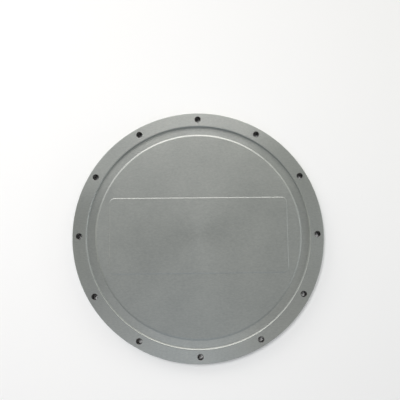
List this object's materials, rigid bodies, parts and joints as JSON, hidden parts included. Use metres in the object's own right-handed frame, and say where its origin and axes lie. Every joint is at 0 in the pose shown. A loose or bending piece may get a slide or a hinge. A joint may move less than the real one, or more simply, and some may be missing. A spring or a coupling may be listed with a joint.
{
  "type": "tank clean-out cover",
  "caption": "Flat round aluminium tank access cover with a ring of bolt holes, a turned groove and a raised label pad, on a flat rubber gasket.",
  "frame": {"origin": "centre of the gasket's underside, where the cover meets the tank wall", "axes": "+Z is the centre line, pointing out of the tank; +Y is the edge that is uppermost when the cover hangs on a side wall; the raised pad runs along X"},
  "size_m": [0.4749, 0.475, 0.019],
  "materials": {
    "turned_aluminium": "fine turned front with a satin blast, as-cast pockets on the back",
    "nitrile_rubber": "matt black sheet rubber"
  },
  "bodies": {
    "root": {"cover_plate": "turned_aluminium", "sealing_gasket": "nitrile_rubber"}
  },
  "joints": []
}
